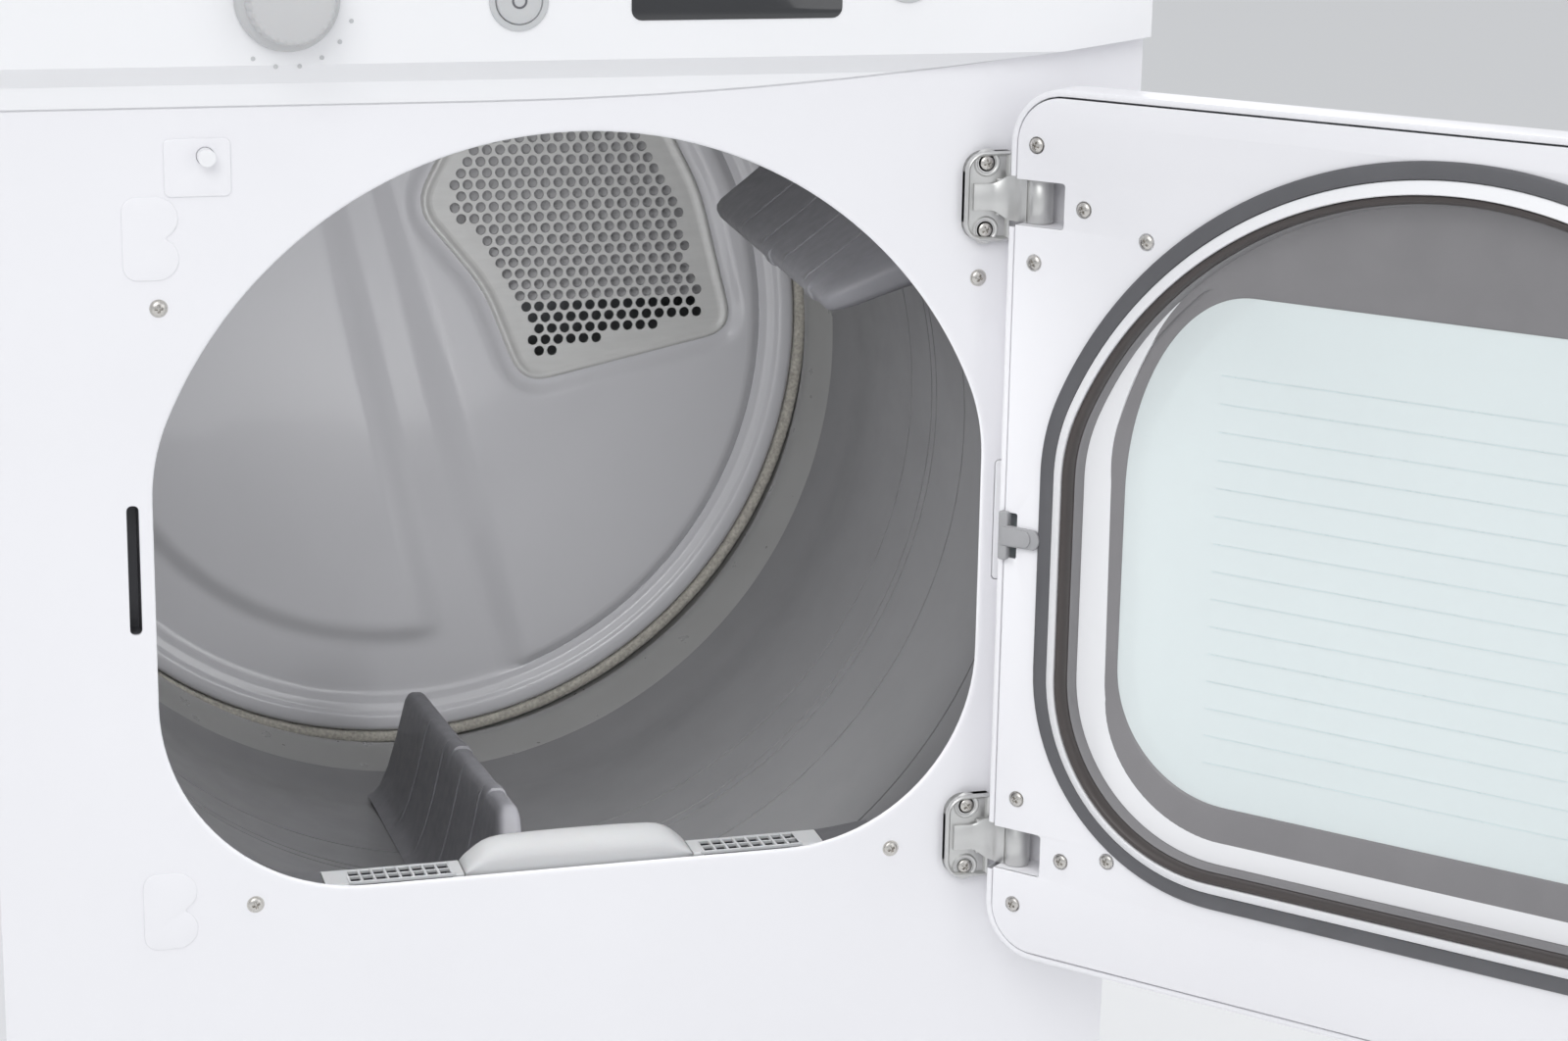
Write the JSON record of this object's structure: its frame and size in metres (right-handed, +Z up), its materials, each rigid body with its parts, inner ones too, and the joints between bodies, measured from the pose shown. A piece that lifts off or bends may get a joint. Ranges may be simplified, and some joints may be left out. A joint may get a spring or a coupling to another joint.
{
  "type": "clothes dryer",
  "caption": "Front-loading vented tumble dryer with a side-hinged glass door, belt-driven drum with lifters, lint filter and front control panel.",
  "frame": {"origin": "on the floor, under the middle of the box round the whole machine with its door open as drawn", "axes": "+Z up, square to the top deck; +Y from the front to the rear, the way the exhaust outlet points; +X to the right as seen from the front"},
  "size_m": [0.98, 1.1944, 0.975],
  "materials": {
    "white_enamel": "gloss baked enamel on steel sheet",
    "drum_grey": "satin mid-grey coating",
    "bulkhead_grey": "gloss light grey enamel",
    "galvanised": "matt galvanised sheet",
    "stainless_steel": "bright perforated sheet",
    "zinc_plated": "zinc-plated casting",
    "dark_plastic": "satin dark grey moulding",
    "light_plastic": "satin light grey moulding",
    "white_plastic": "gloss white moulding",
    "black_rubber": "matt black rubber",
    "felt": "pressed felt",
    "clear_glass": "clear, very faintly green",
    "steel": "machined and painted steel"
  },
  "bodies": {
    "cabinet": {"base_pan": "galvanised", "left_side_panel": "white_enamel", "right_side_panel": "white_enamel", "rear_panel": "galvanised", "top_cover": "white_enamel", "front_panel": "white_enamel", "front_bulkhead": "bulkhead_grey", "filter_grille": "light_plastic", "rear_bulkhead": "bulkhead_grey", "inlet_grille": "stainless_steel", "rear_felt_seal": "felt", "front_felt_seal": "felt", "heater_duct": "galvanised", "heater_element": "steel", "blower_housing": "dark_plastic", "lint_duct": "light_plastic", "exhaust_pipe": "galvanised", "motor_housing": "steel", "drive_belt": "black_rubber", "upper_hinge_arm": "zinc_plated", "lower_hinge_arm": "zinc_plated", "door_catch": "dark_plastic", "latch_blank": "white_plastic", "door_switch_body": "dark_plastic", "drum_lamp": "clear_glass", "terminal_cover": "galvanised", "levelling_foot_front_left": "black_rubber", "levelling_foot_front_right": "black_rubber", "levelling_foot_rear_left": "black_rubber", "levelling_foot_rear_right": "black_rubber", "roller_axle_left": "steel", "roller_axle_right": "steel", "console_fascia": "white_plastic"},
    "drum": {"drum_shell": "drum_grey", "drum_lifter_bottom": "dark_plastic", "drum_lifter_right": "dark_plastic", "drum_lifter_left": "dark_plastic"},
    "left_roller": {"drum_roller_left": "black_rubber"},
    "right_roller": {"drum_roller_right": "black_rubber"},
    "rotor": {"motor_shaft": "steel", "blower_wheel": "dark_plastic"},
    "tensioner": {"idler_arm": "zinc_plated"},
    "tension_pulley": {"idler_pulley": "dark_plastic"},
    "filter": {"lint_filter": "light_plastic"},
    "knob": {"cycle_knob": "light_plastic"},
    "power_key": {"power_button": "light_plastic"},
    "start_key": {"start_button": "light_plastic"},
    "door_switch": {"door_switch_plunger": "white_plastic"},
    "door": {"door_outer_shell": "white_enamel", "door_inner_panel": "white_enamel", "door_seal": "dark_plastic", "window_ring": "white_plastic", "window_gasket": "black_rubber", "window_bezel": "dark_plastic", "window_glass": "clear_glass", "outer_window": "clear_glass", "strike_blank": "light_plastic", "door_strike": "light_plastic", "upper_hinge_pin": "steel", "lower_hinge_pin": "steel"}
  },
  "joints": [
    {"name": "drum_spin", "type": "hinge", "parent": "cabinet", "child": "drum", "pos_m": [-0.14696, 0.19722, 0.61], "axis": [0, 1, 0], "continuous": true},
    {"name": "left_roller_spin", "type": "hinge", "parent": "cabinet", "child": "left_roller", "pos_m": [-0.35024, 0.39922, 0.31969], "axis": [0, 1, 0], "continuous": true},
    {"name": "right_roller_spin", "type": "hinge", "parent": "cabinet", "child": "right_roller", "pos_m": [0.05631, 0.39922, 0.31969], "axis": [0, 1, 0], "continuous": true},
    {"name": "rotor_spin", "type": "hinge", "parent": "cabinet", "child": "rotor", "pos_m": [-0.02696, 0.11722, 0.165], "axis": [0, 1, 0], "continuous": true},
    {"name": "tensioner_swing", "type": "hinge", "parent": "cabinet", "child": "tensioner", "pos_m": [-0.11696, 0.21022, 0.075], "axis": [0, -1, 0], "range_deg": [0, 20], "stiffness_Nm_per_rad": 2, "springref_deg": -17.19},
    {"name": "tension_pulley_spin", "type": "hinge", "parent": "tensioner", "child": "tension_pulley", "pos_m": [-0.10613, 0.22672, 0.17179], "axis": [0, 1, 0], "continuous": true},
    {"name": "filter_lift", "type": "slide", "parent": "cabinet", "child": "filter", "axis": [0, 0, 1], "range_m": [0, 0.2]},
    {"name": "door_swing", "type": "hinge", "parent": "cabinet", "child": "door", "pos_m": [0.12444, -0.15748, 0.61], "axis": [0, 0, 1], "range_deg": [-129.2, 36]},
    {"name": "door_switch_press", "type": "slide", "parent": "cabinet", "child": "door_switch", "axis": [0, 1, 0], "range_m": [0, 0.003], "stiffness_N_per_m": 150},
    {"name": "knob_turn", "type": "hinge", "parent": "cabinet", "child": "knob", "pos_m": [-0.31696, -0.15278, 0.925], "axis": [0, 1, 0], "continuous": true},
    {"name": "power_press", "type": "slide", "parent": "cabinet", "child": "power_key", "axis": [0, 1, 0], "range_m": [0, 0.002], "stiffness_N_per_m": 400},
    {"name": "start_press", "type": "slide", "parent": "cabinet", "child": "start_key", "axis": [0, 1, 0], "range_m": [0, 0.002], "stiffness_N_per_m": 400}
  ],
  "couplings": [
    {"joint": "left_roller_spin", "follows": "drum_spin", "ratio": -9.1143},
    {"joint": "right_roller_spin", "follows": "drum_spin", "ratio": -9.1143},
    {"joint": "rotor_spin", "follows": "drum_spin", "ratio": 24.615},
    {"joint": "tension_pulley_spin", "follows": "drum_spin", "ratio": -14.591}
  ]
}
